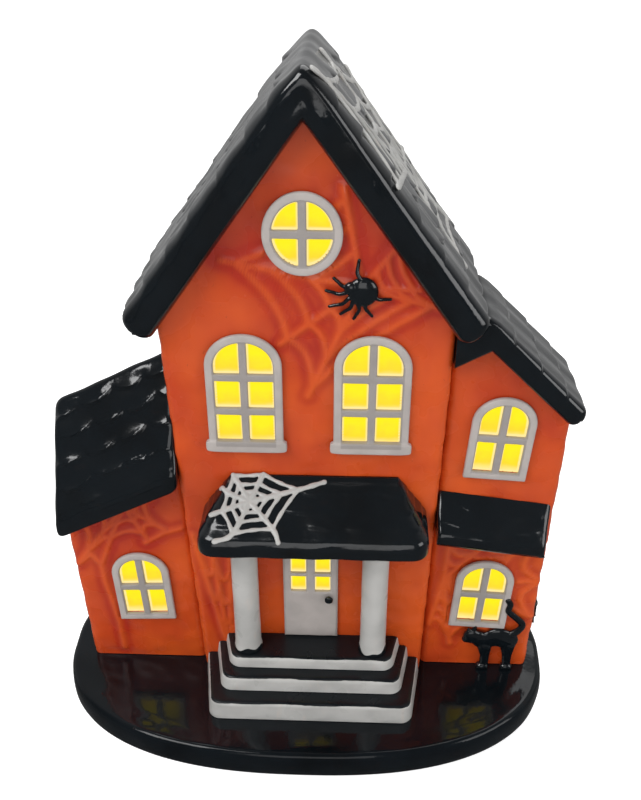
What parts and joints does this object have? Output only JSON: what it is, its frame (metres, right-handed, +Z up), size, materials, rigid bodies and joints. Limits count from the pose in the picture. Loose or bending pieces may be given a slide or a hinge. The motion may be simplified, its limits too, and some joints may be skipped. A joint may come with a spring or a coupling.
{
  "type": "ceramic haunted house lantern",
  "caption": "Glazed ceramic haunted house on an oval base, lit from inside through amber windows by a battery light module with a slide switch and a hinged battery cover.",
  "frame": {"origin": "centre of the base outline, on the plane that the feet stand on", "axes": "+X to the right seen from the front, +Y to the back of the house, +Z up"},
  "size_m": [0.221, 0.132, 0.2812],
  "materials": {
    "base_glaze": "high gloss black glaze",
    "roof_glaze": "high gloss black glaze over modelled shingles",
    "wall_glaze": "gloss orange glaze",
    "white_glaze": "gloss off-white glaze",
    "frame_glaze": "satin light grey glaze",
    "figure_glaze": "high gloss black glaze",
    "amber_film": "translucent yellow film, lit from behind",
    "rubber_feet": "matt",
    "housing_plastic": "fine texture",
    "switch_plastic": "satin",
    "cell_jacket": "gloss plastic sleeve over steel",
    "contact_steel": "nickel plated",
    "board_laminate": "satin solder mask",
    "led_lens": "clear domed lens, lit",
    "wire_black": "satin insulation",
    "wire_red": "satin insulation",
    "wire_yellow": "satin insulation"
  },
  "bodies": {
    "root": {"base_plinth": "base_glaze", "foot_back_right": "rubber_feet", "foot_back_left": "rubber_feet", "foot_front_left": "rubber_feet", "foot_front_right": "rubber_feet", "main_house_walls": "wall_glaze", "left_wing_walls": "wall_glaze", "right_wing_walls": "wall_glaze", "main_roof": "roof_glaze", "left_wing_roof": "roof_glaze", "right_wing_roof": "roof_glaze", "right_wing_skirt_roof": "roof_glaze", "porch_roof": "roof_glaze", "porch_column_left": "white_glaze", "porch_column_right": "white_glaze", "step_lower": "white_glaze", "step_middle": "white_glaze", "step_landing": "white_glaze", "frame_attic": "frame_glaze", "frame_tall_left": "frame_glaze", "frame_tall_right": "frame_glaze", "frame_left_wing": "frame_glaze", "frame_right_lower": "frame_glaze", "frame_right_upper": "frame_glaze", "front_door": "frame_glaze", "door_knob": "figure_glaze", "wall_spider": "figure_glaze", "side_spider": "figure_glaze", "cat": "figure_glaze", "pane_attic": "amber_film", "pane_tall_left": "amber_film", "pane_tall_right": "amber_film", "pane_left_wing": "amber_film", "pane_right_lower": "amber_film", "pane_right_upper": "amber_film", "pane_door": "amber_film", "bottom_housing": "housing_plastic", "timer_chip": "housing_plastic", "switch_body": "switch_plastic", "cell_front": "cell_jacket", "cell_middle": "cell_jacket", "cell_back": "cell_jacket", "contact_negative": "contact_steel", "contact_bridge_left": "contact_steel", "contact_bridge_right": "contact_steel", "contact_positive": "contact_steel", "circuit_board": "board_laminate", "led_left": "led_lens", "led_centre": "led_lens", "led_right": "led_lens", "wire_black": "wire_black", "wire_red": "wire_red", "wire_yellow": "wire_yellow"},
    "battery_cover": {"battery_cover": "housing_plastic"},
    "switch_slider": {"switch_slider": "switch_plastic"}
  },
  "joints": [
    {"name": "power_switch_slide", "type": "slide", "parent": "root", "child": "switch_slider", "axis": [1, 0, 0], "range_m": [0, 0.003]},
    {"name": "battery_cover_hinge", "type": "hinge", "parent": "root", "child": "battery_cover", "pos_m": [-0.02285, 0.012, 0.0038], "axis": [0, 1, 0], "range_deg": [0, 90]}
  ]
}
